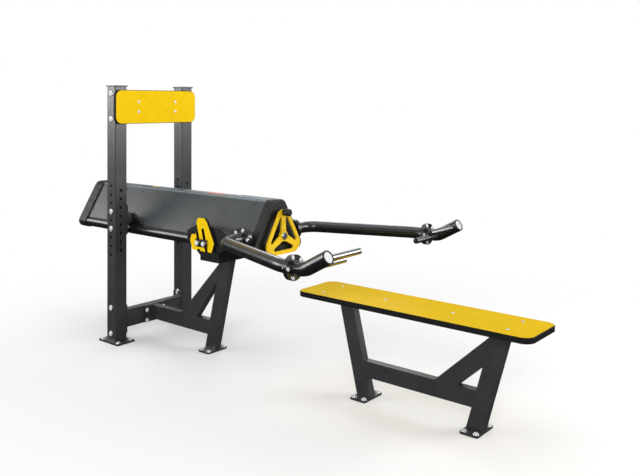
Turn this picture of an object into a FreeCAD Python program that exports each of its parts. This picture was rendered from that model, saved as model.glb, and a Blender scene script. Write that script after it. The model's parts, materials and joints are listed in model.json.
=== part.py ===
"""Lever bench-press station with a crank-set load, and its flat bench.

A lever beam swings on an axle between two uprights.  Its nose rests on a cradle
carried by a leaning stand, and two arms with crosswise grips reach out over a
bench.  A weight carriage inside the beam is moved along by a lead screw that a
triangular handwheel turns, which sets how heavy the grips feel.

Millimetres.  X runs along the beam towards the bench, Z is up, and the origin is
on the floor midway between the two uprights.
"""
import FreeCAD, Part
import os
import re
import Sketcher
from FreeCAD import Placement, Rotation, Vector

DOCUMENT = FreeCAD.newDocument("LeverBenchPress")

# ---------------------------------------------------------------- driving sizes
SIZES = {
    # uprights, of square tube
    "post_width": 80.0, "post_wall": 4.0, "post_spacing": 487.0, "post_height": 1470.0,
    "post_corner": 6.0, "cap_thick": 8.0, "cap_overhang": 4.0, "hole_radius": 8.2,
    "hole_pitch": 49.0, "first_hole": 501.0, "hole_count": 9.0,
    # foot plates
    "foot_thick": 10.0, "foot_length": 178.0, "foot_width": 120.0, "anchor_radius": 7.0,
    "anchor_inset": 19.0, "leg_foot_length": 84.0, "leg_foot_width": 140.0,
    "leg_anchor_inset": 15.0,
    # header board and the crossmember behind it
    "board_width": 588.0, "board_height": 195.0, "board_thick": 20.0, "board_corner": 40.0,
    "board_edge": 3.0, "board_middle": 1346.0, "header_height": 60.0, "header_depth": 40.0,
    # lower crossmember
    "cross_height": 100.0, "cross_depth": 50.0, "cross_middle": 124.0, "plate_thick": 8.0,
    # stand under the nose of the beam
    "stand_height": 80.0, "stand_width": 40.0, "stand_middle": 128.0, "flange_width": 150.0,
    "leg_depth": 80.0, "leg_wall": 3.0, "leg_foot_x": 544.0, "leg_head_x": 671.0,
    "brace_foot_x": 365.0, "brace_depth": 64.0, "brace_low": 152.0, "brace_high": 40.0,
    "stand_setback": 10.0, "end_plate_lip": 30.0, "cradle_width": 336.0,
    "cradle_rear_x": 600.0, "cradle_front_x": 776.0, "cradle_bottom": 536.0,
    "cradle_heel": 26.0, "bumper_inset": 20.0, "bumper_thick": 12.0, "bumper_width": 40.0,
    "rest_gap": 0.4,
    # lever beam
    "rail_radius": 30.15, "rail_wall": 3.6, "rail_spread": 140.0, "rail_drop": 61.0,
    "beam_rear_x": -500.0, "beam_front_x": 1045.0, "beam_top_rise": 171.0,
    "side_lean": 30.0, "sheet_thick": 3.0, "panel_inset": 3.15, "rear_cap_depth": 78.0,
    "front_cap_depth": 51.0, "cap_wall": 4.5, "cap_margin": 5.0, "crown_radius": 44.0,
    "cap_edge": 10.0, "cap_lap": 12.0, "cover_thick": 8.0, "cover_slope": 5.0,
    "cover_raise": 4.0, "cover_step_x": 745.0, "scale_width": 46.0, "scale_thick": 1.5,
    "scale_start_x": -360.0, "scale_end_x": 700.0, "bulkhead_thick": 8.0,
    # pivot
    "axle_radius": 20.0, "axle_end_gap": 3.0, "running_gap": 0.05, "bush_wall": 6.0,
    "boss_radius": 40.0, "cheek_offset": 15.0, "cheek_thick": 8.0, "cheek_top_half": 54.0,
    "cheek_half": 122.0, "cheek_rise": 31.0, "cheek_shoulder": 21.0, "side_play": 4.0,
    "sleeve_wall": 8.0, "bracket_width": 76.0, "bracket_height": 170.0,
    "bolt_head_ratio": 1.9,
    # arms and grips
    "arm_x": 970.0, "arm_drop": 7.0, "arm_radius": 30.15, "arm_wall": 3.6, "arm_bend": 90.0,
    "arm_splay_bend": 200.0, "arm_end_y": 520.0, "arm_corner_y": 319.0,
    "arm_splay_x": 1536.0, "arm_end_x": 1603.0, "arm_gap": 6.0, "flange_radius": 55.0,
    "flange_thick": 12.0, "cross_tube_radius": 23.5, "cross_tube_wall": 5.0,
    "coupling_radius": 54.0, "coupling_thick": 11.0, "grip_bend_x": 1669.0,
    "grip_end_x": 1789.0, "grip_rise": 65.0, "grip_bend": 100.0, "grip_radius": 14.0,
    "grip_reach": 236.0, "grip_stub": 24.0, "rear_grip_x": 1686.0, "rear_grip_rise": 6.0,
    "front_grip_x": 1766.0, "end_plug_thick": 5.0,
    # load carriage, screw and handwheel
    "screw_radius": 12.0, "screw_drop": 6.0, "screw_start_x": 45.0, "screw_clearance": 2.0,
    "carriage_gap": 0.5, "nut_radius": 22.0, "nut_length": 50.0, "nut_flange": 10.0,
    "nut_barrel": 16.0, "carriage_length": 250.0, "carriage_start_x": 96.0,
    "carriage_travel": 480.0, "carriage_foot_half": 92.0, "carriage_head_half": 36.0,
    "carriage_below": 46.0, "carriage_above": 112.0, "guide_radius": 11.0,
    "guide_spread": 62.0, "guide_drop": 34.0, "screw_bulkhead_x": 62.0,
    "guide_bulkhead_x": 890.0, "wheel_x": 1068.0, "wheel_thick": 10.0, "wheel_point": 183.0,
    "wheel_corner": 48.0, "wheel_rim": 19.0, "wheel_spoke": 19.0, "wheel_spoke_root": 36.0,
    "window_corner": 10.0, "wheel_hub": 26.0, "hub_proud": 3.0, "hub_cap_radius": 19.0,
    "hub_cap_thick": 6.0, "knob_reach": 121.0, "knob_radius": 19.0, "knob_length": 42.0,
    "knob_edge": 6.0, "knob_gap": 1.0, "knob_pin_radius": 5.0, "knob_pin_length": 32.0,
    "collar_radius": 22.0, "collar_length": 8.0,
    # sliding latch beside the nose of the beam
    "housing_x": 720.0, "housing_half": 160.0, "housing_top_half": 92.0,
    "housing_rise": 27.0, "housing_half_height": 65.0, "housing_side_half": 30.0,
    "housing_offset": 20.0, "housing_thick": 36.0, "latch_x": 693.5, "latch_drop": 58.0,
    "latch_thick": 15.0, "latch_gap": 0.6, "latch_bolt_spread": 49.0,
    "latch_bolt_radius": 9.0, "slot_width": 20.0, "slot_reach": 70.0, "slot_angle": 15.0,
    "latch_corner": 18.0, "latch_notch": 15.0, "latch_hook": 40.0, "latch_foot": 42.0,
    "latch_lobe": 92.0, "latch_waist": 8.0, "latch_head": 38.0, "latch_rise": 130.0,
    "latch_crown": 18.0, "bridge_length": 86.0, "bridge_height": 40.0,
    "bridge_thick": 6.0,
    # bench
    "seat_start_x": 1280.0, "seat_length": 1180.0, "seat_width": 272.0, "seat_top": 471.0,
    "seat_thick": 24.0, "seat_corner": 46.0, "seat_edge": 3.0, "bench_leg_depth": 76.0,
    "bench_leg_width": 40.0, "bench_end_inset": 50.0, "spine_width": 60.0,
    "spine_thick": 12.0, "bench_front_foot_x": 1594.0, "bench_front_head_x": 1490.0,
    "bench_rear_foot_x": 2162.0, "bench_rear_head_x": 2283.0, "bench_rail_height": 74.0,
    "bench_rail_middle": 137.0, "bench_brace_x": 2027.0, "bench_brace_half": 55.0,
    "bench_brace_low": 167.0, "bench_brace_high": 32.0, "lug_width": 200.0,
    "lug_length": 44.0, "lug_thick": 8.0,
}

SHEET = DOCUMENT.addObject("Spreadsheet::Sheet", "Sizes")
for line_number, (size_name, size_value) in enumerate(SIZES.items(), start=1):
    SHEET.set("A%d" % line_number, size_name)
    SHEET.set("B%d" % line_number, str(size_value))
    SHEET.setAlias("B%d" % line_number, size_name)
DOCUMENT.recompute()

# Heights and places that several pieces share, each worked out from the sizes.
PLACES = {
    "pivot_z": "(first_hole + 4 * hole_pitch)",
    "rail_z": "(first_hole + 4 * hole_pitch - rail_drop)",
    "beam_top_z": "(first_hole + 4 * hole_pitch + beam_top_rise)",
    "arm_z": "(first_hole + 4 * hole_pitch - arm_drop)",
    "screw_z": "(first_hole + 4 * hole_pitch - screw_drop)",
    "latch_z": "(first_hole + 4 * hole_pitch - latch_drop)",
    "post_inner_y": "(post_spacing / 2 - post_width / 2)",
    "seat_bottom_z": "(seat_top - seat_thick)",
    "cap_reach": "(rail_radius + cap_margin)",
    "cheek_outer_y": "(rail_spread + cheek_offset + cheek_thick)",
    "cradle_top_z": "(first_hole + 4 * hole_pitch - rail_drop - rail_radius - rest_gap - bumper_thick)",
    "housing_face_y": "(rail_spread + housing_offset + housing_thick)",
    "arm_flange_y": "(rail_spread + rail_radius + arm_gap + flange_thick)",
    "panel_offset": "(rail_radius - panel_inset)",
    "inner_offset": "(rail_radius - panel_inset - sheet_thick)",
    "panel_top_z": "(first_hole + 4 * hole_pitch + beam_top_rise - cover_thick)",
}


def sized(text):
    """Expression text with shared places spelt out and sizes read from the sheet."""
    text = re.sub(r"[a-z_]+", lambda word: PLACES.get(word.group(), word.group()), str(text))
    return re.sub(r"[a-z_]+", lambda word: ("Sizes." if word.group() in SIZES else "") + word.group(), text)


def bind(item, **expressions):
    """Bind properties of an object to expressions over the sizes."""
    for property_name, text in expressions.items():
        item.setExpression(property_name, sized(text))
    return item


def place(item, x=0, y=0, z=0):
    for axis_name, text in zip("xyz", (x, y, z)):
        item.setExpression("Placement.Base." + axis_name, sized(text))
    return item


def turn(item, axis, angle=90.0):
    item.Placement = Placement(item.Placement.Base, Rotation(axis, angle))
    return item


ALONG_X, ALONG_Y, ALONG_Z = Vector(1, 0, 0), Vector(0, 1, 0), Vector(0, 0, 1)


# ------------------------------------------------------------- primitive shapes
def box(name, length, width, height, x, y, z):
    """A block between its lowest corner x, y, z and that corner plus its sizes."""
    item = DOCUMENT.addObject("Part::Box", name)
    bind(item, Length=length, Width=width, Height=height)
    return place(item, x, y, z)


def round_bar(name, radius, length, axis, x, y, z):
    """A cylinder that starts at x, y, z and runs in the positive axis direction."""
    item = DOCUMENT.addObject("Part::Cylinder", name)
    bind(item, Radius=radius, Height=length)
    if axis is ALONG_X:
        turn(item, ALONG_Y, 90)
    elif axis is ALONG_Y:
        turn(item, ALONG_X, -90)
    return place(item, x, y, z)


def cut(name, base, tool):
    item = DOCUMENT.addObject("Part::Cut", name)
    item.Base = base
    item.Tool = tool
    return item


def fuse(name, *pieces):
    item = DOCUMENT.addObject("Part::MultiFuse", name)
    item.Shapes = list(pieces)
    item.Refine = True
    return item


def group(name, *pieces):
    """Separate like solids kept in one node."""
    item = DOCUMENT.addObject("Part::Compound", name)
    item.Links = list(pieces)
    return item


def mirror(name, source):
    """The same piece on the other side of the plane y = 0."""
    item = DOCUMENT.addObject("Part::Mirroring", name)
    item.Source = source
    item.Normal = ALONG_Y
    return item


def tube(name, radius, wall, length, axis, x, y, z):
    outer = round_bar(name + "_outer", radius, length, axis, x, y, z)
    inner = round_bar(name + "_inner", "(%s) - (%s)" % (radius, wall), length, axis, x, y, z)
    return cut(name, outer, inner)


# ---------------------------------------------------------- sketches and bodies
def new_body(name):
    return DOCUMENT.addObject("PartDesign::Body", name)


def new_sketch(body, plane):
    """A sketch on one of the body's own origin planes, XY, XZ or YZ."""
    sketch = body.newObject("Sketcher::SketchObject", body.Name + "_sketch")
    support = [item for item in body.Origin.OriginFeatures if item.Role == plane + "_Plane"][0]
    sketch.AttachmentSupport = [(support, "")]
    sketch.MapMode = "FlatFace"
    return sketch


def pin_down(sketch, geometry, point, x, y):
    """Hold a sketch point at two expressions, measured from the sketch origin."""
    for kind, text in (("DistanceX", x), ("DistanceY", y)):
        index = sketch.addConstraint(Sketcher.Constraint(kind, -1, 1, geometry, point, 10.0))
        sketch.setExpression("Constraints[%d]" % index, sized(text))


def outline(sketch, corners):
    """A closed outline of straight edges through corners given as expressions."""
    first = sketch.GeometryCount
    count = len(corners)
    points = [Vector(100, 0, 0)]
    for step in range(1, count):
        points.append(Rotation(ALONG_Z, 360.0 * step / count).multVec(points[0]))
    for step in range(count):
        sketch.addGeometry(Part.LineSegment(points[step], points[(step + 1) % count]), False)
    for step in range(count):
        following = first + (step + 1) % count
        sketch.addConstraint(Sketcher.Constraint("Coincident", first + step, 2, following, 1))
    for step, (x, y) in enumerate(corners):
        pin_down(sketch, first + step, 1, x, y)


def circle(sketch, radius, x, y):
    index = sketch.addGeometry(Part.Circle(Vector(10, 10, 0), ALONG_Z, 5.0), False)
    rule = sketch.addConstraint(Sketcher.Constraint("Radius", index, 5.0))
    sketch.setExpression("Constraints[%d]" % rule, sized(radius))
    pin_down(sketch, index, 3, x, y)


def pad(body, sketch, length, both_ways=False, backwards=False):
    feature = body.newObject("PartDesign::Pad", body.Name + "_pad")
    feature.Profile = sketch
    feature.SideType = "Symmetric" if both_ways else "One side"
    feature.Reversed = backwards
    bind(feature, Length=length)
    DOCUMENT.recompute()
    return feature


def pocket(body, sketch, length=None, both_ways=False, backwards=False):
    """Cut a sketch out of the body: right through, or to a depth."""
    before = body.Shape.Volume
    feature = body.newObject("PartDesign::Pocket", body.Name + "_pocket")
    feature.Profile = sketch
    feature.SideType = "Symmetric" if both_ways else "One side"
    feature.Reversed = backwards
    if length is None:
        feature.Type = "ThroughAll"
    else:
        bind(feature, Length=length)
    DOCUMENT.recompute()
    if not body.Shape.Volume < before:
        raise RuntimeError(feature.Name + " cuts nothing")
    return feature


def round_edges(body, feature, radius, chosen, flat=False):
    """Fillet, or chamfer flat, the edges that the test picks by middle and direction."""
    names = []
    for number, edge in enumerate(feature.Shape.Edges, start=1):
        middle = edge.valueAt((edge.FirstParameter + edge.LastParameter) / 2)
        direction = edge.tangentAt((edge.FirstParameter + edge.LastParameter) / 2)
        if chosen(middle, direction):
            names.append("Edge%d" % number)
    kind, measure = ("Chamfer", "Size") if flat else ("Fillet", "Radius")
    eased = body.newObject("PartDesign::" + kind, body.Name + "_" + kind.lower())
    eased.Base = (feature, names)
    bind(eased, **{measure: radius})
    DOCUMENT.recompute()
    return eased


def along(axis):
    """A test for edges that run along one axis."""
    return lambda middle, direction: abs(direction.dot(axis)) > 0.999


def plate(name, plane, corners, thickness, holes=(), both_ways=True, corner_radius=None):
    """A flat piece cut to a straight-edged outline, with round holes right through."""
    body = new_body(name)
    sketch = new_sketch(body, plane)
    outline(sketch, corners)
    last = pad(body, sketch, thickness, both_ways=both_ways)
    if corner_radius:
        normal = {"XY": ALONG_Z, "XZ": ALONG_Y, "YZ": ALONG_X}[plane]
        last = round_edges(body, last, corner_radius, along(normal))
    if holes:
        sketch = new_sketch(body, plane)
        for radius, x, y in holes:
            circle(sketch, radius, x, y)
        pocket(body, sketch, both_ways=True)
    return body


def rectangle(half_x, half_y):
    """Corner expressions of a rectangle centred on the sketch origin."""
    return [("-(%s)" % half_x, "-(%s)" % half_y), (half_x, "-(%s)" % half_y),
            (half_x, half_y), ("-(%s)" % half_x, half_y)]


def corner_holes(radius, half_x, half_y):
    return [(radius, "%d * (%s)" % (side, half_x), "%d * (%s)" % (end, half_y))
            for side in (-1, 1) for end in (-1, 1)]


# ---------------------------------------------------------------------- uprights
def build_upright():
    """The left upright: square tube with a row of holes through each pair of walls."""
    body = new_body("left_upright")
    sketch = new_sketch(body, "XY")
    outline(sketch, rectangle("post_width / 2", "post_width / 2"))
    tube_pad = pad(body, sketch, "post_height - cap_thick - foot_thick")
    round_edges(body, tube_pad, "post_corner", along(ALONG_Z))
    bore = new_sketch(body, "XY")
    outline(bore, rectangle("post_width / 2 - post_wall", "post_width / 2 - post_wall"))
    pocket(body, bore, backwards=True)
    for plane, first, count in (("XZ", "first_hole", "hole_count"),
                                ("YZ", "first_hole + hole_pitch / 2", "hole_count - 1")):
        row = new_sketch(body, plane)
        circle(row, "hole_radius", 0, first + " - foot_thick")
        drilled = pocket(body, row, both_ways=True)
        pattern = body.newObject("PartDesign::LinearPattern", body.Name + "_row")
        pattern.Originals = [drilled]
        pattern.Direction = (row, ["V_Axis"])
        pattern.Mode = "Spacing"
        bind(pattern, Offset="hole_pitch", Occurrences=count)
        body.Tip = pattern
        DOCUMENT.recompute()
    return place(body, 0, "-post_spacing / 2", "foot_thick")


def build_foot(name, half_x, half_y, inset, x, y):
    holes = corner_holes("anchor_radius", "%s - %s" % (half_x, inset), "%s - %s" % (half_y, inset))
    foot = plate(name, "XY", rectangle(half_x, half_y), "foot_thick", holes=holes, both_ways=False,
                 corner_radius="foot_thick / 2")
    return place(foot, x, y, 0)


upright = build_upright()
mirror("right_upright", upright)
upright_foot = build_foot("left_foot_plate", "foot_length / 2", "foot_width / 2", "anchor_inset",
                          0, "-post_spacing / 2")
mirror("right_foot_plate", upright_foot)
post_cap = box("post_cap_left", "post_width + 2 * cap_overhang", "post_width + 2 * cap_overhang",
               "cap_thick",
               "-post_width / 2 - cap_overhang", "-post_spacing / 2 - post_width / 2 - cap_overhang",
               "post_height - cap_thick")
group("post_caps", post_cap, mirror("post_cap_right", post_cap))


# ----------------------------------------------------- crossmembers and the board
def rect_tube_y(name, depth, height, x, z):
    """A rectangular tube across Y between the end plates, with its two end plates."""
    span = "(post_inner_y - plate_thick)"
    outer = box(name + "_outer", depth, "2 * " + span, height, x, "-" + span, z)
    inner = box(name + "_inner", depth + " - 2 * leg_wall", "2 * " + span, height + " - 2 * leg_wall",
                x + " + leg_wall", "-" + span, z + " + leg_wall")
    ends = [box(name + "_end_" + side, "post_width - 2 * post_corner", "plate_thick",
                height + " + 2 * end_plate_lip", "-post_width / 2 + post_corner", start,
                z + " - end_plate_lip")
            for side, start in (("left", "-post_inner_y"), ("right", span))]
    return fuse(name, cut(name + "_tube", outer, inner), *ends)


rect_tube_y("upper_crossmember", "header_depth", "header_height", "post_width / 2 - header_depth",
            "board_middle - header_height / 2")
rect_tube_y("lower_crossmember", "cross_depth", "cross_height",
            "post_width / 2 - stand_setback - cross_depth",
            "cross_middle - cross_height / 2")


def build_board():
    body = new_body("header_board")
    sketch = new_sketch(body, "YZ")
    outline(sketch, rectangle("board_width / 2", "board_height / 2"))
    slab = pad(body, sketch, "board_thick")
    rounded = round_edges(body, slab, "board_corner", along(ALONG_X))
    front = rounded.Shape.BoundBox.XMax
    round_edges(body, rounded, "board_edge", lambda middle, direction: middle.x > front - 0.01, flat=True)
    return place(body, "post_width / 2", 0, "board_middle")


build_board()


# ------------------------------------------------------------------ leaning stand
def leaning_tube(name, width, corners, bore):
    """A rectangular tube across X and Z, from its side outline and its bore's outline."""
    body = new_body(name)
    sketch = new_sketch(body, "XZ")
    outline(sketch, corners)
    pad(body, sketch, width, both_ways=True)
    hollow = new_sketch(body, "XZ")
    outline(hollow, bore)
    pocket(body, hollow, "%s - 2 * leg_wall" % width, both_ways=True)
    return body


def leg_corners(foot_x, head_x, depth, foot_z, head_z):
    """Side outline of a leg cut level at both ends."""
    half = "(%s) / 2" % depth
    return [("%s - %s" % (foot_x, half), foot_z), ("%s + %s" % (foot_x, half), foot_z),
            ("%s + %s" % (head_x, half), head_z), ("%s - %s" % (head_x, half), head_z)]


def on_leg(foot_x, head_x, foot_z, head_z, height):
    """X of a leg's centre line at a height."""
    return "(%s + (%s - (%s)) * ((%s) - (%s)) / ((%s) - (%s)))" % (
        foot_x, head_x, foot_x, height, foot_z, head_z, foot_z)


def leaning_leg(name, foot_x, head_x, depth, width, head_z):
    ends = (foot_x, head_x)
    leaning_tube(name, width, leg_corners(*ends, depth, "foot_thick", head_z),
                 leg_corners(*ends, depth + " - 2 * leg_wall", "foot_thick", head_z))


def level_tube(name, width, start_x, foot_x, head_x, depth, low, high, foot_z, head_z, end_leg=None):
    """A tube along X, mitred to the near side of a leg and, if given, off another leg."""
    def corners(bottom, top):
        start = [start_x, start_x]
        if end_leg:
            start = [on_leg(*end_leg, z) + " + (%s) / 2" % depth for z in (bottom, top)]
        finish = [on_leg(foot_x, head_x, foot_z, head_z, z) + " - (%s) / 2" % depth for z in (bottom, top)]
        return [(start[0], bottom), (finish[0], bottom), (finish[1], top), (start[1], top)]
    return leaning_tube(name, width, corners(low, high), corners(low + " + leg_wall", high + " - leg_wall"))


def slanting_brace(name, width, foot_x, half, foot_z, leg, depth, low, high):
    """A tube from the top of a level tube up to the near side of a leg."""
    def corners(wall):
        lean = "(leg_wall * %d)" % wall
        sides = [on_leg(*leg, z) + " - (%s) / 2" % depth for z in
                 ("(%s + %s)" % (low, lean), "(%s - %s)" % (high, lean))]
        return [("%s - %s + %s" % (foot_x, half, lean), foot_z),
                ("%s + %s - %s" % (foot_x, half, lean), foot_z),
                (sides[0], "%s + %s" % (low, lean)), (sides[1], "%s - %s" % (high, lean))]
    leaning_tube(name, width, corners(0), corners(1))


leaning_leg("front_leg", "leg_foot_x", "leg_head_x", "leg_depth", "stand_width", "cradle_bottom")
build_foot("front_foot_plate", "leg_foot_length / 2", "leg_foot_width / 2", "leg_anchor_inset",
           "leg_foot_x", 0)
STAND_LEG = ("leg_foot_x", "leg_head_x", "foot_thick", "cradle_bottom")
STAND_TOP = "(stand_middle + stand_height / 2)"
beam_tube = level_tube("stand_tube", "stand_width",
                       "(post_width / 2 - stand_setback + plate_thick)", "leg_foot_x",
                       "leg_head_x", "leg_depth", "(stand_middle - stand_height / 2)", STAND_TOP,
                       "foot_thick", "cradle_bottom")
beam_flange = box("stand_flange", "plate_thick", "flange_width", "cross_height",
                  "post_width / 2 - stand_setback",
                  "-flange_width / 2", "cross_middle - cross_height / 2")
fuse("stand_beam", beam_tube, beam_flange)
slanting_brace("stand_brace", "stand_width", "brace_foot_x", "brace_depth", STAND_TOP, STAND_LEG,
               "leg_depth", "(cradle_bottom - brace_low)", "(cradle_bottom - brace_high)")


def build_cradle():
    """A pan of folded plate across the stand, open towards the uprights."""
    body = new_body("cradle")
    sketch = new_sketch(body, "XZ")
    heel = "leg_head_x - leg_depth / 2"
    ceiling = "(cradle_top_z - plate_thick)"
    outline(sketch, [("cradle_rear_x", ceiling), (heel, "cradle_bottom + cradle_heel"),
                     (heel, "cradle_bottom"), ("cradle_front_x", "cradle_bottom"),
                     ("cradle_front_x", "cradle_top_z"), ("cradle_rear_x", "cradle_top_z")])
    pad(body, sketch, "cradle_width", both_ways=True)
    inside = new_sketch(body, "XZ")
    outline(inside, [("cradle_rear_x", "cradle_bottom + plate_thick"),
                     ("cradle_front_x - plate_thick", "cradle_bottom + plate_thick"),
                     ("cradle_front_x - plate_thick", ceiling), ("cradle_rear_x", ceiling)])
    pocket(body, inside, "cradle_width - 2 * plate_thick", both_ways=True)
    return body


build_cradle()
group("cradle_bumpers", *[
    box("bumper_%d" % number, "cradle_front_x - cradle_rear_x - 2 * bumper_inset", "bumper_width",
        "bumper_thick", "cradle_rear_x + bumper_inset", "%d * rail_spread - bumper_width / 2" % side,
        "cradle_top_z")
    for number, side in enumerate((-1, 1))])


# ------------------------------------------------------------- pivot at the posts
BOLT_ROWS = (3, 5)


def build_bracket():
    back = box("bracket_back", "bracket_width", "plate_thick", "bracket_height",
               "-bracket_width / 2", "-post_inner_y", "pivot_z - bracket_height / 2")
    boss = round_bar("bracket_boss", "boss_radius", "post_inner_y - cheek_outer_y - side_play", ALONG_Y,
                     0, "-post_inner_y", "pivot_z")
    bore = round_bar("bracket_bore", "axle_radius + bush_wall", "post_inner_y", ALONG_Y, 0,
                     "-post_inner_y - 1", "pivot_z")
    holes = [round_bar("bracket_hole_%d" % row, "hole_radius", "plate_thick + 2", ALONG_Y, 0,
                       "-post_inner_y - 1", "first_hole + %d * hole_pitch" % row) for row in BOLT_ROWS]
    return cut("left_pivot_bracket", fuse("bracket_body", back, boss), fuse("bracket_bores", bore, *holes))


bracket = build_bracket()
mirror("right_pivot_bracket", bracket)
bush = tube("bush_left", "axle_radius + bush_wall", "bush_wall - running_gap",
            "post_inner_y - cheek_outer_y - side_play", ALONG_Y, 0, "-post_inner_y", "pivot_z")
group("pivot_bushes", bush, mirror("bush_right", bush))


def headed_bolt(name, radius, length, x, y, z):
    """A bolt along Y with a tapered cap on its low end."""
    shank = round_bar(name + "_shank", radius, length, ALONG_Y, x, y, z)
    head = DOCUMENT.addObject("Part::Cone", name + "_head")
    bind(head, Radius1="(%s) * bolt_head_ratio" % radius, Radius2=radius, Height=radius)
    turn(head, ALONG_X, 90)
    place(head, x, y, z)
    return fuse(name, shank, head)


post_bolts = []
for row in BOLT_ROWS:
    bolt = headed_bolt("pivot_bolt_%d" % row, "hole_radius - 0.2", "post_width + plate_thick", 0,
                     "-post_spacing / 2 - post_width / 2", "first_hole + %d * hole_pitch" % row)
    post_bolts += [bolt, mirror("far_pivot_bolt_%d" % row, bolt)]
group("pivot_bolts", *post_bolts)


# ------------------------------------------------------------------- lever beam
LEAN = "side_lean * 1 deg"


def flank(distance, height):
    """Y of the beam's leaning side, at a distance out from the rail's centre line."""
    return "(rail_spread + (%s - (%s - rail_z) * sin(%s)) / cos(%s))" % (distance, height, LEAN, LEAN)


def on_flank(distance, run):
    """Y and Z a distance out from the rail's centre and a run up the leaning side."""
    return ("(rail_spread + %s * cos(%s) - %s * sin(%s))" % (distance, LEAN, run, LEAN),
            "(rail_z + %s * sin(%s) + %s * cos(%s))" % (distance, LEAN, run, LEAN))


def both_sides(corners):
    """A right-hand chain of y, z corners, lowest first, closed by its mirror image."""
    return corners + [("-" + y, z) for y, z in reversed(corners)]


rail = tube("left_rail", "rail_radius", "rail_wall", "beam_front_x - beam_rear_x - 2 * cap_wall", ALONG_X,
            "beam_rear_x + cap_wall", "-rail_spread", "rail_z")
mirror("right_rail", rail)


def rail_cores(name, *sides):
    """Solid bars in the rails' places, for cutting what seats on the rails."""
    bars = [round_bar("%s_%d" % (name, number), "rail_radius", "beam_front_x - beam_rear_x", ALONG_X,
                      "beam_rear_x", "%d * rail_spread" % side, "rail_z")
            for number, side in enumerate(sides)]
    return bars[0] if len(bars) == 1 else fuse(name, *bars)


def cap_solid(name, distance, top, crown, depth, edge=None, outer_end="max"):
    """A rounded-triangle block whose lower corners are round about the rails."""
    body = new_body(name)
    sketch = new_sketch(body, "YZ")
    bottom = "(rail_z - %s)" % distance
    outline(sketch, both_sides([(flank(distance, bottom), bottom), (flank(distance, top), top)]))
    last = pad(body, sketch, depth)
    middle_z = body.Shape.BoundBox.Center.z
    lengthwise = along(ALONG_X)
    for radius, low in ((distance, True), (crown, False)):
        last = round_edges(body, last, radius, lambda middle, direction: lengthwise(middle, direction)
                           and (middle.z < middle_z) == low)
    if edge:
        bounds = body.Shape.BoundBox
        end = bounds.XMax if outer_end == "max" else bounds.XMin
        last = round_edges(body, last, edge, lambda middle, direction: abs(middle.x - end) < 0.01)
    return body


def end_cap(name, start_x, depth, outer_end):
    """A moulded cover over one end of the beam, open towards the beam."""
    shell = cap_solid(name + "_shell", "cap_reach", "(beam_top_z + cap_margin)", "crown_radius", depth,
                      "cap_edge", outer_end)
    hollow = cap_solid(name + "_hollow", "(cap_reach - cap_wall)", "(beam_top_z + cap_margin - cap_wall)",
                       "crown_radius - cap_wall", depth)
    place(shell, start_x)
    place(hollow, "%s %s cap_wall" % (start_x, "-" if outer_end == "max" else "+"))
    return cut(name, shell, hollow)


end_cap("rear_end_cap", "beam_rear_x", "rear_cap_depth", "min")
front_cap = end_cap("front_cap_shell_open", "beam_front_x - front_cap_depth", "front_cap_depth", "max")
collar = round_bar("front_collar", "collar_radius", "collar_length + cap_wall", ALONG_X,
                   "beam_front_x - cap_wall", 0, "screw_z")
screw_way = round_bar("front_cap_way", "screw_radius + screw_clearance", "front_cap_depth + 40", ALONG_X,
                      "beam_front_x - front_cap_depth", 0, "screw_z")
cut("front_end_cap", fuse("front_cap_with_collar", front_cap, collar), screw_way)


PANEL_START = "(beam_rear_x + rear_cap_depth - cap_lap)"
PANEL_LENGTH = "(beam_front_x - front_cap_depth + cap_lap - %s)" % PANEL_START
SEAT_RUN = "sqrt(rail_radius ^ 2 - inner_offset ^ 2)"


def build_side_panel():
    """Sheet that stands on the left rail and leans in to the top cover."""
    body = new_body("left_side_panel")
    sketch = new_sketch(body, "YZ")
    section = [on_flank("inner_offset", SEAT_RUN), on_flank("panel_offset", SEAT_RUN),
               (flank("panel_offset", "panel_top_z"), "panel_top_z"),
               (flank("inner_offset", "panel_top_z"), "panel_top_z")]
    outline(sketch, [("-" + y, z) for y, z in section])
    pad(body, sketch, PANEL_LENGTH)
    ways = new_sketch(body, "XZ")
    circle(ways, "cross_tube_radius + 1", "arm_x - " + PANEL_START, "arm_z")
    circle(ways, "axle_radius + sleeve_wall + 1", "-" + PANEL_START, "pivot_z")
    pocket(body, ways, both_ways=True)
    return place(body, PANEL_START)


mirror("right_side_panel", build_side_panel())
box("belly_panel", PANEL_LENGTH, "2 * (rail_spread - %s)" % SEAT_RUN, "sheet_thick", PANEL_START,
    "-rail_spread + " + SEAT_RUN, "rail_z - inner_offset - sheet_thick")


def strip(name, half, slope, thick, start_x, length, z):
    """A long strip along the beam with sloping sides."""
    body = new_body(name)
    sketch = new_sketch(body, "YZ")
    outline(sketch, both_sides([("(%s)" % half, 0), ("(%s - %s)" % (half, slope), thick)]))
    pad(body, sketch, length)
    return place(body, start_x, 0, z)


COVER_HALF = "(rail_spread + (panel_offset - (panel_top_z - rail_z) * sin(%s)) / cos(%s))" % (LEAN, LEAN)
COVER_START = "(beam_rear_x + rear_cap_depth)"
low_cover = strip("low_cover", COVER_HALF, "cover_slope", "cover_thick", COVER_START,
                  "beam_front_x - front_cap_depth - " + COVER_START, "panel_top_z")
high_cover = strip("high_cover", COVER_HALF + " - cover_slope", "cover_raise", "cover_raise",
                   "cover_step_x",
                   "beam_front_x - front_cap_depth - cover_step_x", "beam_top_z")
fuse("top_cover", low_cover, high_cover)
box("load_scale", "scale_end_x - scale_start_x", "scale_width", "scale_thick", "scale_start_x",
    "-scale_width / 2", "beam_top_z")


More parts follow.
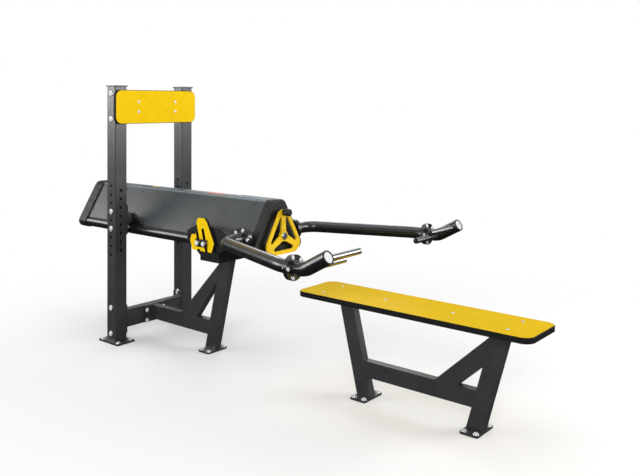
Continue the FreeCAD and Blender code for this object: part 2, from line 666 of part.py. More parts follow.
def bulkhead(name, x, holes):
    """A plate across the beam, notched to sit on the rails and drilled for the shafts."""
    lowest = "(rail_z - inner_offset * 0.8)"
    corners = both_sides([("rail_spread", lowest), on_flank("inner_offset", SEAT_RUN),
                          (flank("inner_offset", "panel_top_z"), "panel_top_z")])
    blank = plate(name + "_blank", "YZ", corners, "bulkhead_thick", holes=holes, both_ways=False)
    place(blank, x)
    return cut(name, blank, rail_cores(name + "_seats", -1, 1))


SCREW_BEARING = ("screw_radius + running_gap", 0, "screw_z")
SCREW_WAY = ("screw_radius + screw_clearance", 0, "screw_z")
GUIDE_HOLES = [("guide_radius", "%d * guide_spread" % side, "pivot_z - guide_drop") for side in (-1, 1)]
bulkhead("rear_bulkhead", "beam_rear_x + rear_cap_depth", ())
bulkhead("screw_bulkhead", "screw_bulkhead_x", [SCREW_BEARING] + GUIDE_HOLES)
bulkhead("guide_bulkhead", "guide_bulkhead_x", [SCREW_WAY] + GUIDE_HOLES)
bulkhead("front_bulkhead", "beam_front_x - front_cap_depth", [SCREW_BEARING])
group("guide_rods", *[
    round_bar("guide_rod_%d" % number, "guide_radius",
              "guide_bulkhead_x + bulkhead_thick - screw_bulkhead_x",
              ALONG_X, "screw_bulkhead_x", "%d * guide_spread" % side, "pivot_z - guide_drop")
    for number, side in enumerate((-1, 1))])


# ------------------------------------------------------------ axle and its cheeks
AXLE_END = "(post_inner_y - axle_end_gap)"
axle = round_bar("axle_bar", "axle_radius", "2 * " + AXLE_END, ALONG_Y, 0, "-" + AXLE_END, "pivot_z")
sleeve = round_bar("axle_sleeve", "axle_radius + sleeve_wall", "2 * (rail_spread + cheek_offset)",
                   ALONG_Y, 0,
                   "-rail_spread - cheek_offset", "pivot_z")
fuse("pivot_axle", axle, sleeve)


def build_cheek():
    """Octagonal plate that carries the axle and is notched to sit on the left rail."""
    corners = [("-cheek_half", "rail_z + rail_radius / 2"), ("cheek_half", "rail_z + rail_radius / 2"),
               ("cheek_half", "pivot_z - cheek_shoulder"), ("cheek_top_half", "pivot_z + cheek_rise"),
               ("-cheek_top_half", "pivot_z + cheek_rise"), ("-cheek_half", "pivot_z - cheek_shoulder")]
    blank = plate("cheek_blank", "XZ", corners, "cheek_thick", holes=[("axle_radius", 0, "pivot_z")],
                  both_ways=False)
    place(blank, 0, "-rail_spread - cheek_offset")
    return cut("cheek_left", blank, rail_cores("cheek_seat", -1))


cheek = build_cheek()
group("pivot_cheeks", cheek, mirror("cheek_right", cheek))


# --------------------------------------------------------------- arms and grips
def cross_tube():
    """Tube across the nose of the beam with a flange on each end for the arms."""
    flange_start = "(arm_flange_y - flange_thick)"
    pipe = tube("cross_pipe", "cross_tube_radius", "cross_tube_wall", "2 * " + flange_start, ALONG_Y,
                "arm_x", "-" + flange_start, "arm_z")
    flanges = [round_bar("cross_flange_%d" % number, "flange_radius", "flange_thick", ALONG_Y, "arm_x",
                         start, "arm_z") for number, start in enumerate(("-arm_flange_y", flange_start))]
    way = round_bar("cross_screw_way", "screw_radius + screw_clearance", "3 * cross_tube_radius", ALONG_X,
                    "arm_x - 1.5 * cross_tube_radius", 0, "screw_z")
    return cut("arm_cross_tube", fuse("cross_pipe_flanged", pipe, *flanges), way)


cross_tube()


def bent_tube(name, plane, across, route, bends, radius, wall):
    """A tube swept along straight runs joined by tangent bends, from the body's origin."""
    body = new_body(name)
    spine = new_sketch(body, plane)
    last = len(route) - 1
    for step in range(last):
        spine.addGeometry(Part.LineSegment(Vector(100 * step, 50 * (step % 2), 0),
                                           Vector(100 * step + 100, 50 - 50 * (step % 2), 0)), False)
    for step in range(last - 1):
        spine.addConstraint(Sketcher.Constraint("Coincident", step, 2, step + 1, 1))
    for step, (x, y) in enumerate(route):
        pin_down(spine, min(step, last - 1), 1 if step < last else 2, x, y)
    DOCUMENT.recompute()
    for step, bend in enumerate(bends):
        spine.fillet(step, 2, 20.0, True, True)
        arcs = [number for number, item in enumerate(spine.Geometry) if isinstance(item, Part.ArcOfCircle)]
        rule = spine.addConstraint(Sketcher.Constraint("Radius", arcs[-1], 20.0))
        spine.setExpression("Constraints[%d]" % rule, sized(bend))
    section = new_sketch(body, across)
    circle(section, radius, 0, 0)
    circle(section, "%s - %s" % (radius, wall), 0, 0)
    sweep = body.newObject("PartDesign::AdditivePipe", name + "_sweep")
    sweep.Profile = section
    sweep.Spine = spine
    DOCUMENT.recompute()
    return body


def ring(name, outer, inner, length, axis, x, y, z):
    return tube(name, outer, "%s - (%s)" % (outer, inner), length, axis, x, y, z)


def build_arm():
    """The left arm: out from the nose of the beam, then forward with a slight splay."""
    corner = "-(arm_corner_y - arm_flange_y)"
    end = "-(arm_end_y - arm_flange_y)"
    pipe = bent_tube("arm_pipe", "XY", "XZ",
                     [(0, 0), (0, corner), ("arm_splay_x - arm_x", end), ("arm_end_x - arm_x", end)],
                     ["arm_bend", "arm_splay_bend"], "arm_radius", "arm_wall")
    place(pipe, "arm_x", "-arm_flange_y", "arm_z")
    flange = ring("arm_flange", "flange_radius", "arm_radius", "flange_thick", ALONG_Y, "arm_x",
                  "-arm_flange_y - flange_thick", "arm_z")
    coupling = ring("arm_coupling", "coupling_radius", "arm_radius", "coupling_thick", ALONG_X,
                    "arm_end_x - coupling_thick", "-arm_end_y", "arm_z")
    return fuse("left_arm", pipe, flange, coupling)


GRIP_START = "arm_end_x"
GRIP_SLOPE = "atan(grip_rise / (grip_end_x - grip_bend_x))"


def build_grips():
    """The left grip tube with its coupling, two crosswise grips and an end plug."""
    pipe = bent_tube("grip_pipe", "XZ", "YZ",
                     [(0, 0), ("grip_bend_x - " + GRIP_START, 0),
                      ("grip_end_x - " + GRIP_START, "grip_rise")],
                     ["grip_bend"], "arm_radius", "arm_wall")
    place(pipe, GRIP_START, "-arm_end_y", "arm_z")
    coupling = ring("grip_coupling", "coupling_radius", "arm_radius", "coupling_thick", ALONG_X,
                    GRIP_START, "-arm_end_y", "arm_z")
    rises = {"rear_grip_x": "rear_grip_rise",
             "front_grip_x": "(front_grip_x - grip_bend_x) * tan(%s)" % GRIP_SLOPE}
    cores = []
    bars = []
    for x, rise in rises.items():
        spot = (x, "-arm_end_y - grip_stub", "arm_z + " + rise)
        cores.append(round_bar(x + "_core", "grip_radius", "grip_reach + grip_stub", ALONG_Y, *spot))
        bars.append(round_bar(x + "_bar", "grip_radius", "grip_reach + grip_stub", ALONG_Y, *spot))
    grip_tube = cut("left_grip_tube", fuse("grip_pipe_coupled", pipe, coupling), fuse("grip_cores", *cores))
    plug = DOCUMENT.addObject("Part::Cylinder", "end_plug")
    bind(plug, Radius="arm_radius - arm_wall", Height="end_plug_thick")
    turn(plug, ALONG_Y, 60)
    plug.setExpression("Placement.Rotation.Angle", sized("90 deg - " + GRIP_SLOPE))
    place(plug, "grip_end_x - end_plug_thick * cos(%s)" % GRIP_SLOPE, "-arm_end_y",
          "arm_z + grip_rise - end_plug_thick * sin(%s)" % GRIP_SLOPE)
    group("grip_bars", *bars, *[mirror("far_" + bar.Name, bar) for bar in bars])
    group("grip_end_plugs", plug, mirror("far_end_plug", plug))
    return grip_tube


mirror("right_arm", build_arm())
mirror("right_grip_tube", build_grips())


# --------------------------------------------------- load carriage and its screw
def build_carriage():
    """Steel weight that slides on the guide rods, with a flanged nut on the screw."""
    low, high = "(pivot_z - carriage_below)", "(pivot_z + carriage_above)"
    corners = both_sides([("carriage_foot_half", low), ("carriage_head_half", high)])
    holes = [("nut_barrel", 0, "screw_z")] + [
        ("guide_radius + carriage_gap", y, z) for radius, y, z in GUIDE_HOLES]
    weight = plate("weight_carriage", "YZ", corners, "carriage_length", holes=holes, both_ways=False,
                   corner_radius="window_corner")
    place(weight, "carriage_start_x")
    barrel = ring("nut_sleeve", "nut_barrel", "screw_radius + running_gap", "nut_length", ALONG_X,
                  "carriage_start_x + carriage_length - nut_length + nut_flange", 0, "screw_z")
    flange = ring("nut_collar", "nut_radius", "screw_radius + running_gap", "nut_flange", ALONG_X,
                  "carriage_start_x + carriage_length", 0, "screw_z")
    fuse("screw_nut", barrel, flange)


build_carriage()
round_bar("lead_screw", "screw_radius", "wheel_x + wheel_thick - screw_start_x", ALONG_X,
          "screw_start_x", 0,
          "screw_z")


def turned(x, y, third):
    """A point turned about the sketch origin by a number of thirds of a turn."""
    angle = "%d deg" % (120 * third)
    return ("(%s) * cos(%s) - (%s) * sin(%s)" % (x, angle, y, angle),
            "(%s) * sin(%s) + (%s) * cos(%s)" % (x, angle, y, angle))


def build_handwheel():
    """Triangular wheel with rounded corners, three spokes to them, and a raised hub."""
    body = new_body("wheel_body")
    sketch = new_sketch(body, "YZ")
    outline(sketch, [turned(0, "wheel_point", third) for third in range(3)])
    blank = pad(body, sketch, "wheel_thick")
    rounded = round_edges(body, blank, "wheel_corner", along(ALONG_X))
    windows = new_sketch(body, "YZ")
    foot = "(wheel_point / 2 - wheel_rim)"
    tip = "((%s * cos(30 deg) - wheel_spoke / 2) / sin(30 deg))" % foot
    for third in range(3):
        outline(windows, [turned(x, z, third) for x, z in
                          ((0, "-wheel_spoke_root / (2 * cos(30 deg))"), ("-" + tip, "-" + foot),
                           (tip, "-" + foot))])
    opened = pocket(body, windows, both_ways=True)
    lengthwise = along(ALONG_X)
    round_edges(body, opened, "window_corner", lambda middle, direction: lengthwise(middle, direction)
                and rounded.Shape.isInside(middle, 0.01, False))
    place(body, "wheel_x", 0, "screw_z")
    hub = round_bar("wheel_hub", "wheel_hub", "wheel_thick + 2 * hub_proud", ALONG_X,
                    "wheel_x - hub_proud", 0,
                    "screw_z")
    pin = round_bar("knob_pin", "knob_pin_radius", "wheel_thick + knob_pin_length", ALONG_X, "wheel_x", 0,
                    "screw_z + knob_reach")
    shaft = round_bar("wheel_shaft", "screw_radius", "wheel_thick + 4 * hub_proud", ALONG_X,
                      "wheel_x - 2 * hub_proud", 0, "screw_z")
    return cut("handwheel", fuse("wheel_with_hub", body, hub, pin), shaft)


build_handwheel()


def build_hub_cap():
    body = new_body("hub_cap")
    sketch = new_sketch(body, "YZ")
    circle(sketch, "hub_cap_radius", 0, 0)
    disc = pad(body, sketch, "hub_cap_thick")
    front = disc.Shape.BoundBox.XMax
    round_edges(body, disc, "hub_cap_thick / 2", lambda middle, direction: middle.x > front - 0.01,
                flat=True)
    return place(body, "wheel_x + wheel_thick + hub_proud", 0, "screw_z")


build_hub_cap()


def build_knob():
    """A turned knob, eased at both ends, that spins freely on the handwheel's pin."""
    body = new_body("knob")
    sketch = new_sketch(body, "XZ")
    bore = "knob_pin_radius + running_gap"
    depth = "knob_pin_length + knob_gap"
    outline(sketch, [
        (0, bore), (0, "knob_radius - knob_edge"), ("knob_edge / 3", "knob_radius - knob_edge / 3"),
        ("knob_edge", "knob_radius"), ("knob_length - knob_edge", "knob_radius"),
        ("knob_length - knob_edge / 3", "knob_radius - knob_edge / 3"),
        ("knob_length", "knob_radius - knob_edge"), ("knob_length", 0), (depth, 0), (depth, bore)])
    turning = body.newObject("PartDesign::Revolution", "knob_turning")
    turning.Profile = sketch
    turning.ReferenceAxis = (sketch, ["H_Axis"])
    turning.Angle = 360
    DOCUMENT.recompute()
    return place(body, "wheel_x + wheel_thick + knob_gap", 0, "screw_z + knob_reach")


build_knob()


# ------------------------------------------------------------------ sliding latch
def build_housing():
    """Octagonal block on the left rail's outer side that carries the latch."""
    middle = "rail_z + housing_rise"
    corners = [("housing_x %s %s" % (sign, half), "%s %s %s" % (middle, rise, height))
               for sign, half, rise, height in (
                   ("-", "housing_top_half", "-", "housing_half_height"),
                   ("+", "housing_top_half", "-", "housing_half_height"),
                   ("+", "housing_half", "-", "housing_side_half"),
                   ("+", "housing_half", "+", "housing_side_half"),
                   ("+", "housing_top_half", "+", "housing_half_height"),
                   ("-", "housing_top_half", "+", "housing_half_height"),
                   ("-", "housing_half", "+", "housing_side_half"),
                   ("-", "housing_half", "-", "housing_side_half"))]
    blank = plate("housing_blank", "XZ", corners, "housing_thick", both_ways=False)
    place(blank, 0, "-rail_spread - housing_offset")
    return cut("latch_housing", blank, rail_cores("housing_seat", -1))


build_housing()
SLOT_SIDES = (-1, 1)


def build_latch():
    """Lobed plate that rides on two bolts in slanting slots.

    One slot is open at the top and makes a hook, the other is open at the bottom.
    """
    corners = [("-latch_lobe + latch_corner", "-latch_foot"), ("latch_lobe - latch_corner", "-latch_foot"),
               ("latch_lobe", "latch_waist"), ("latch_head", "latch_rise - latch_crown"),
               ("latch_head - latch_crown", "latch_rise"), ("-latch_head + latch_crown / 2", "latch_rise"),
               ("-latch_head - latch_crown / 3", "latch_rise - 1.4 * latch_crown"),
               ("-latch_head", "latch_hook + latch_crown"),
               ("-latch_lobe + 2 * latch_corner", "latch_hook"),
               ("-latch_lobe + 2 * latch_corner / 3", "latch_hook"), ("-latch_lobe", "latch_waist")]
    blank = plate("latch_blank", "XZ", corners, "latch_thick", both_ways=False,
                  corner_radius="latch_corner / 2")
    place(blank, "latch_x", "-housing_face_y - latch_gap", "latch_z")
    behind = "-housing_face_y - latch_gap - latch_thick - 1"
    across = "latch_thick + 2"
    lean = "slot_angle * 1 deg"
    cuts = []
    for name, side, end in (("hook_slot", -1, 0), ("guide_slot", 1, "slot_reach")):
        turn_x = "(latch_x + %d * latch_bolt_spread / 2 - %s * sin(%s))" % (side, end, lean)
        turn_z = "(latch_z + %s * cos(%s))" % (end, lean)
        run = box(name + "_run", "slot_width", across, "2 * latch_rise", 0, 0, 0)
        heading = "-slot_angle * 1 deg" if side < 0 else "180 deg - " + lean
        turn(run, ALONG_Y, 100)
        run.setExpression("Placement.Rotation.Angle", sized(heading))
        place(run, "%s + %d * slot_width / 2 * cos(%s)" % (turn_x, side, lean), behind,
              "%s + %d * slot_width / 2 * sin(%s)" % (turn_z, side, lean))
        cuts += [run, round_bar(name + "_end", "slot_width / 2", across, ALONG_Y, turn_x, behind, turn_z)]
    cuts.append(round_bar("latch_notch_cut", "latch_notch", across, ALONG_Y,
                          "latch_x - latch_bolt_spread / 2", behind,
                          "latch_z - latch_foot - latch_notch / 3"))
    return cut("latch_plate", blank, fuse("latch_slots", *cuts))


build_latch()


def build_clamp():
    """Bridge plate and two bolts that keep the latch against its housing."""
    stand_off = "(2 * latch_gap + latch_thick + bridge_thick)"
    face = "-housing_face_y - " + stand_off
    bridge = box("bridge", "bridge_length", "bridge_thick", "bridge_height", "latch_x - bridge_length / 2",
                 face, "latch_z - bridge_height / 2")
    studs = [headed_bolt("latch_bolt_%d" % number, "latch_bolt_radius", stand_off,
                       "latch_x + %d * latch_bolt_spread / 2" % side, face, "latch_z")
             for number, side in enumerate(SLOT_SIDES)]
    return fuse("latch_clamp", bridge, *studs)


# ----------------------------------------------------------------------- bench
def build_seat():
    body = new_body("bench_seat")
    sketch = new_sketch(body, "XY")
    outline(sketch, rectangle("seat_length / 2", "seat_width / 2"))
    slab = pad(body, sketch, "seat_thick")
    rounded = round_edges(body, slab, "seat_corner", along(ALONG_Z))
    top = rounded.Shape.BoundBox.ZMax
    round_edges(body, rounded, "seat_edge", lambda middle, direction: middle.z > top - 0.01, flat=True)
    return place(body, "seat_start_x + seat_length / 2", 0, "seat_bottom_z")


build_seat()
box("seat_spine", "seat_length - 2 * bench_end_inset", "spine_width", "spine_thick",
    "seat_start_x + bench_end_inset", "-spine_width / 2", "seat_bottom_z - spine_thick")
SPINE_Z = "(seat_bottom_z - spine_thick)"
LUG_STARTS = ("seat_start_x + bench_end_inset", "seat_start_x + seat_length - bench_end_inset - lug_length")
lugs = [box("seat_lug_%d" % number, "lug_length", "lug_width / 2 - spine_width / 2", "lug_thick", lug_x,
            "spine_width / 2", "seat_bottom_z - lug_thick") for number, lug_x in enumerate(LUG_STARTS)]
group("seat_lugs", *lugs, *[mirror("far_" + lug.Name, lug) for lug in lugs])
bench_feet = []
for leg_name, foot_x, head_x in (("bench_front", "bench_front_foot_x", "bench_front_head_x"),
                                 ("bench_rear", "bench_rear_foot_x", "bench_rear_head_x")):
    leaning_leg(leg_name + "_leg", foot_x, head_x, "bench_leg_depth", "bench_leg_width", SPINE_Z)
    bench_feet.append(build_foot(leg_name + "_foot", "leg_foot_length / 2", "leg_foot_width / 2",
                                 "leg_anchor_inset", foot_x, 0))
group("bench_feet", *bench_feet)
BENCH_LEG = ("bench_rear_foot_x", "bench_rear_head_x", "foot_thick", SPINE_Z)
BENCH_NEAR_LEG = ("bench_front_foot_x", "bench_front_head_x", "foot_thick", SPINE_Z)
RAIL_TOP = "(bench_rail_middle + bench_rail_height / 2)"
level_tube("bench_rail", "bench_leg_width", 0, "bench_rear_foot_x", "bench_rear_head_x", "bench_leg_depth",
           "(bench_rail_middle - bench_rail_height / 2)", RAIL_TOP, "foot_thick", SPINE_Z, BENCH_NEAR_LEG)
slanting_brace("bench_brace", "bench_leg_width", "bench_brace_x", "bench_brace_half", RAIL_TOP, BENCH_LEG,
               "bench_leg_depth", "(seat_bottom_z - bench_brace_low)", "(seat_bottom_z - bench_brace_high)")


# ------------------------------------------------------------- check and export
NODES = """
left_upright right_upright left_foot_plate right_foot_plate post_caps
upper_crossmember lower_crossmember header_board
stand_beam front_leg front_foot_plate stand_brace cradle cradle_bumpers
left_pivot_bracket right_pivot_bracket pivot_bushes pivot_bolts
left_rail right_rail left_side_panel right_side_panel belly_panel top_cover load_scale
rear_end_cap front_end_cap rear_bulkhead screw_bulkhead guide_bulkhead front_bulkhead guide_rods
pivot_axle pivot_cheeks arm_cross_tube left_arm right_arm
left_grip_tube right_grip_tube grip_bars grip_end_plugs latch_housing latch_clamp
weight_carriage screw_nut lead_screw handwheel hub_cap knob latch_plate
bench_seat seat_spine seat_lugs bench_front_leg bench_rear_leg bench_feet bench_rail bench_brace
""".split()


def check_and_export():
    """Refuse a failed feature or a bad solid, then write one file for each piece."""
    for item in DOCUMENT.Objects:
        if {"Invalid", "Error"} & set(item.State):
            raise RuntimeError("%s: %s" % (item.Name, item.State))
    os.makedirs("parts", exist_ok=True)
    for name in NODES:
        shape = DOCUMENT.getObject(name).Shape
        if shape.isNull() or not shape.isValid() or not shape.Solids:
            raise RuntimeError(name + " has no valid shape")
        shape.exportStep("parts/%s.step" % name)


build_clamp()
DOCUMENT.recompute()
check_and_export()
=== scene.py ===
import json
import math

import bmesh
import bpy
from mathutils import Matrix, Vector


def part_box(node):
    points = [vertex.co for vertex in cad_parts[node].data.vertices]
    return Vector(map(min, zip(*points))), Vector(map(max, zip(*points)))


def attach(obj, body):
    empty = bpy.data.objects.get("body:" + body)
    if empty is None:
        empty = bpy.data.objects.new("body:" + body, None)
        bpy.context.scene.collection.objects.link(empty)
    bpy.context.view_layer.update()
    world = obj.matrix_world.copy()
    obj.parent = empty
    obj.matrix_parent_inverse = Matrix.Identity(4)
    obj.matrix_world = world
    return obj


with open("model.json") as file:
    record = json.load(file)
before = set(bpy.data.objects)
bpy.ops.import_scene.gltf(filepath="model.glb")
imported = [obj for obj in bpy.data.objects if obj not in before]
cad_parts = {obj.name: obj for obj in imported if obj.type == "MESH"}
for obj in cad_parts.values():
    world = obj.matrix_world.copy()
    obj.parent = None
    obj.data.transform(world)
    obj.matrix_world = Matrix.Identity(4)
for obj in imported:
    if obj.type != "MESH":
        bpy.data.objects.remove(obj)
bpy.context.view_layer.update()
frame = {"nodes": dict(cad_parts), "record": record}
NODES = frame["nodes"]


# ---------------------------------------------------------------- materials

GRAPHITE = (0.031, 0.0335, 0.0348)
PANEL_GREY = (0.05, 0.055, 0.058)
BLACK = (0.006, 0.0063, 0.0068)
YELLOW = (0.81, 0.52, 0.0)
CORE = (0.012, 0.012, 0.012)
# a board's face is a skin where its normal leans this far to the board's axis; the rest is core
SKIN_NORMAL = 0.93


def new_material(name):
    """An empty material and its shader."""
    material = bpy.data.materials.new(name)
    material.use_nodes = True
    tree = material.node_tree
    return material, tree, tree.nodes["Principled BSDF"]


def add(tree, kind, **settings):
    """One node, with its sockets or properties set."""
    node = tree.nodes.new(kind)
    for key, value in settings.items():
        if key in node.inputs:
            node.inputs[key].default_value = value
        else:
            setattr(node, key, value)
    return node


def noise(tree, scale, detail=3.0, stretch=(1, 1, 1)):
    """Noise in metres, stretched along an axis if asked."""
    where = add(tree, "ShaderNodeTexCoord")
    spread = add(tree, "ShaderNodeMapping")
    spread.inputs["Scale"].default_value = stretch
    texture = add(tree, "ShaderNodeTexNoise", Scale=scale, Detail=detail)
    tree.links.new(where.outputs["Object"], spread.inputs["Vector"])
    tree.links.new(spread.outputs["Vector"], texture.inputs["Vector"])
    return texture.outputs["Fac"]


def ramp(tree, source, stops):
    """A colour ramp driven by a value; stops are (place, colour)."""
    node = add(tree, "ShaderNodeValToRGB")
    elements = node.color_ramp.elements
    while len(elements) < len(stops):
        elements.new(0.5)
    for element, (place, colour) in zip(elements, stops):
        element.position = place
        element.color = (*colour, 1)
    tree.links.new(source, node.inputs["Fac"])
    return node.outputs["Color"]


def spread_of(value, amount):
    """A colour a little darker and a little lighter than the one given."""
    return ([v * (1 - amount) for v in value], [v * (1 + amount) for v in value])


def bump(tree, source, shader, depth):
    """Raises the surface by the source; the depth is in metres."""
    node = add(tree, "ShaderNodeBump", Strength=1.0, Distance=depth)
    tree.links.new(source, node.inputs["Height"])
    tree.links.new(node.outputs["Normal"], shader.inputs["Normal"])


def roughness(tree, source, shader, low, high):
    """Roughness between two values, following a texture."""
    node = add(tree, "ShaderNodeMapRange")
    node.inputs["From Min"].default_value = 0.3
    node.inputs["From Max"].default_value = 0.7
    node.inputs["To Min"].default_value = low
    node.inputs["To Max"].default_value = high
    tree.links.new(source, node.inputs["Value"])
    tree.links.new(node.outputs["Result"], shader.inputs["Roughness"])


def powder_coat(name, colour, rough, grain=1400, depth=0.00006, coat=0.0, coat_rough=0.1):
    """Baked powder paint: fine orange peel, slightly uneven tone and gloss."""
    material, tree, shader = new_material(name)
    dark, light = spread_of(colour, 0.13)
    tone = noise(tree, 9.0, 4.0)
    tree.links.new(ramp(tree, tone, [(0.3, dark), (0.7, light)]), shader.inputs["Base Color"])
    roughness(tree, noise(tree, 60.0, 2.0), shader, rough - 0.05, rough + 0.05)
    bump(tree, noise(tree, grain, 2.0), shader, depth)
    shader.inputs["Coat Weight"].default_value = coat
    shader.inputs["Coat Roughness"].default_value = coat_rough
    return material


def moulded_plastic(name, colour, rough, grain=900, depth=0.0001):
    """Moulded plastic with a fine spark-eroded grain."""
    material, tree, shader = new_material(name)
    dark, light = spread_of(colour, 0.1)
    tone = ramp(tree, noise(tree, 25.0, 3.0), [(0.35, dark), (0.65, light)])
    tree.links.new(tone, shader.inputs["Base Color"])
    roughness(tree, noise(tree, 40.0, 2.0), shader, rough - 0.06, rough + 0.06)
    bump(tree, noise(tree, grain, 3.0), shader, depth)
    return material


def brushed_metal(name, colour, rough, stretch, grain=500):
    """Metal brushed along the axis that has the smallest stretch value; even if all are the same."""
    material, tree, shader = new_material(name)
    dark, light = spread_of(colour, 0.08)
    lines = noise(tree, grain, 3.0, stretch)
    tree.links.new(ramp(tree, lines, [(0.3, dark), (0.7, light)]), shader.inputs["Base Color"])
    roughness(tree, lines, shader, rough - 0.07, rough + 0.07)
    bump(tree, lines, shader, 0.00003)
    shader.inputs["Metallic"].default_value = 1.0
    return material


def sheet_plastic(name, axis):
    """Two-colour polyethylene board: yellow skins across the axis, a black core at its edges."""
    material, tree, shader = new_material(name)
    dark, light = spread_of(YELLOW, 0.03)
    skin = ramp(tree, noise(tree, 14.0, 3.0), [(0.35, dark), (0.65, light)])
    facing = add(tree, "ShaderNodeNewGeometry")
    split = add(tree, "ShaderNodeSeparateXYZ")
    size = add(tree, "ShaderNodeMath", operation="ABSOLUTE")
    step = add(tree, "ShaderNodeMath", operation="GREATER_THAN")
    step.inputs[1].default_value = SKIN_NORMAL
    mix = add(tree, "ShaderNodeMix", data_type="RGBA")
    factor, edge_colour, face_colour = mix.inputs[0], mix.inputs[6], mix.inputs[7]
    edge_colour.default_value = (*CORE, 1)
    tree.links.new(facing.outputs["True Normal"], split.inputs["Vector"])
    tree.links.new(split.outputs[axis], size.inputs[0])
    tree.links.new(size.outputs["Value"], step.inputs[0])
    tree.links.new(step.outputs["Value"], factor)
    tree.links.new(skin, face_colour)
    tree.links.new(mix.outputs[2], shader.inputs["Base Color"])
    roughness(tree, noise(tree, 30.0, 3.0), shader, 0.4, 0.52)
    shader.inputs["Specular IOR Level"].default_value = 0.05
    bump(tree, noise(tree, 420.0, 3.0), shader, 0.00018)
    return material


frame_steel = powder_coat("frame_steel", GRAPHITE, 0.34, coat=0.45, coat_rough=0.22)
black_steel = powder_coat("black_steel", BLACK, 0.3, grain=900, depth=0.00001, coat=0.8, coat_rough=0.24)
panel_steel = powder_coat("panel_steel", PANEL_GREY, 0.38, coat=0.2, coat_rough=0.25)
black_plastic = moulded_plastic("black_plastic", (0.0055, 0.0056, 0.006), 0.46)
yellow_board = sheet_plastic("yellow_board", "Z")
yellow_board_x = sheet_plastic("yellow_board_x", "X")
yellow_board_y = sheet_plastic("yellow_board_y", "Y")
yellow_metal = powder_coat("yellow_metal", YELLOW, 0.36, coat=0.3)
grip_steel = brushed_metal("grip_steel", (0.36, 0.355, 0.35), 0.3, (1, 0.08, 1))
bright_steel = brushed_metal("bright_steel", (0.74, 0.75, 0.76), 0.24, (1, 1, 1), 260)
plain_steel = brushed_metal("plain_steel", (0.5, 0.5, 0.51), 0.34, (0.1, 1, 1))
bronze = brushed_metal("bronze", (0.55, 0.36, 0.16), 0.35, (1, 0.2, 1))
rubber = moulded_plastic("rubber", (0.016, 0.016, 0.017), 0.78, 600, 0.0002)
weight_iron = powder_coat("weight_iron", (0.07, 0.07, 0.072), 0.62, 700, 0.00025)
silver_plastic = moulded_plastic("silver_plastic", (0.63, 0.65, 0.67), 0.3)
scale_film = moulded_plastic("scale_film", (0.16, 0.185, 0.2), 0.34)
cover_gloss = powder_coat("cover_gloss", (0.17, 0.205, 0.225), 0.28, coat=0.8, coat_rough=0.08)
scale_dark = moulded_plastic("scale_dark", (0.02, 0.02, 0.022), 0.38)
scale_orange = moulded_plastic("scale_orange", (0.72, 0.12, 0.01), 0.36)
scale_yellow = moulded_plastic("scale_yellow", YELLOW, 0.36)
# painted shade: a near-black finish that stands in for the shade inside the rivet holes on the side panels
painted_hole_shade = moulded_plastic("painted_hole_shade", (0.006, 0.006, 0.006), 0.6)

BY_SLOT = {
    "frame_steel": frame_steel,
    "black_steel": black_steel,
    "panel_steel": panel_steel,
    "black_plastic": black_plastic,
    "yellow_board": yellow_board,
    "yellow_metal": yellow_metal,
    "bright_steel": bright_steel,
    "clamp_black": black_steel,
    "bronze": bronze,
    "rubber": rubber,
    "weight_iron": weight_iron,
    "scale_strip": scale_film,
}
BY_NODE = {
    "header_board": yellow_board_x,
    "latch_plate": yellow_board_y,
    "grip_bars": grip_steel,
    "grip_end_plugs": silver_plastic,
    "hub_cap": bright_steel,
    "top_cover": cover_gloss,
    "pivot_axle": plain_steel,
    "lead_screw": plain_steel,
    "guide_rods": plain_steel,
}
# widths of the rounded edges, in metres
EDGE_WIDTH = 0.001
EDGE = {
    "header_board": 0.002,
    "bench_seat": 0.002,
    "handwheel": 0.0016,
    "rear_end_cap": 0.002,
    "front_end_cap": 0.002,
}

# ------------------------------------------------------------ the CAD nodes

def soften(obj, width):
    """Welds a carried-over node's facets, rounds its hard edges and smooths its shading."""
    mesh = obj.data
    mesh.polygons.foreach_set("use_smooth", [True] * len(mesh.polygons))
    if mesh.has_custom_normals:
        with bpy.context.temp_override(object=obj, active_object=obj):
            bpy.context.view_layer.objects.active = obj
            bpy.ops.mesh.customdata_custom_splitnormals_clear()
    weld = obj.modifiers.new("weld", "WELD")
    weld.merge_threshold = 0.00002
    edge = obj.modifiers.new("edge", "BEVEL")
    edge.width = width
    edge.segments = 2
    edge.limit_method = "ANGLE"
    edge.angle_limit = math.radians(35)
    edge.miter_outer = "MITER_ARC"
    weighted = obj.modifiers.new("weighted", "WEIGHTED_NORMAL")
    weighted.keep_sharp = False
    weighted.weight = 60


for record_part in frame["record"]["subparts"]:
    part = NODES[record_part["node"]]
    part.data.materials.clear()
    part.data.materials.append(BY_NODE.get(record_part["node"], BY_SLOT[record_part["material_slot"]]))
    soften(part, EDGE.get(record_part["node"], EDGE_WIDTH))


# -------------------------------------------------------- fasteners and trim

def finished(name, mesh, material, body):
    """A new piece that rides on a body."""
    mesh.materials.append(material)
    mesh.polygons.foreach_set("use_smooth", [True] * len(mesh.polygons))
    obj = bpy.data.objects.new(name, mesh)
    bpy.context.scene.collection.objects.link(obj)
    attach(obj, body)
    return obj


def turned_mesh(mesh, profile, at, axis, steps=20):
    """Adds a turned form to a bmesh; the profile is (radius, height) from the seat outwards."""
    axis = Vector(axis).normalized()
    turn = Vector((0, 0, 1)).rotation_difference(axis).to_matrix().to_4x4()
    place = Matrix.Translation(at) @ turn
    rings = []
    for radius, height in profile:
        if radius == 0:
            rings.append([mesh.verts.new(place @ Vector((0, 0, height)))])
            continue
        rings.append([mesh.verts.new(place @ Vector((radius * math.cos(2 * math.pi * i / steps),
                                                     radius * math.sin(2 * math.pi * i / steps), height)))
                      for i in range(steps)])
    for low, high in zip(rings, rings[1:]):
        for i in range(steps):
            j = (i + 1) % steps
            if len(high) == 1:
                mesh.faces.new((low[i], low[j], high[0]))
            elif len(low) == 1:
                mesh.faces.new((low[0], high[j], high[i]))
            else:
                mesh.faces.new((low[i], low[j], high[j], high[i]))


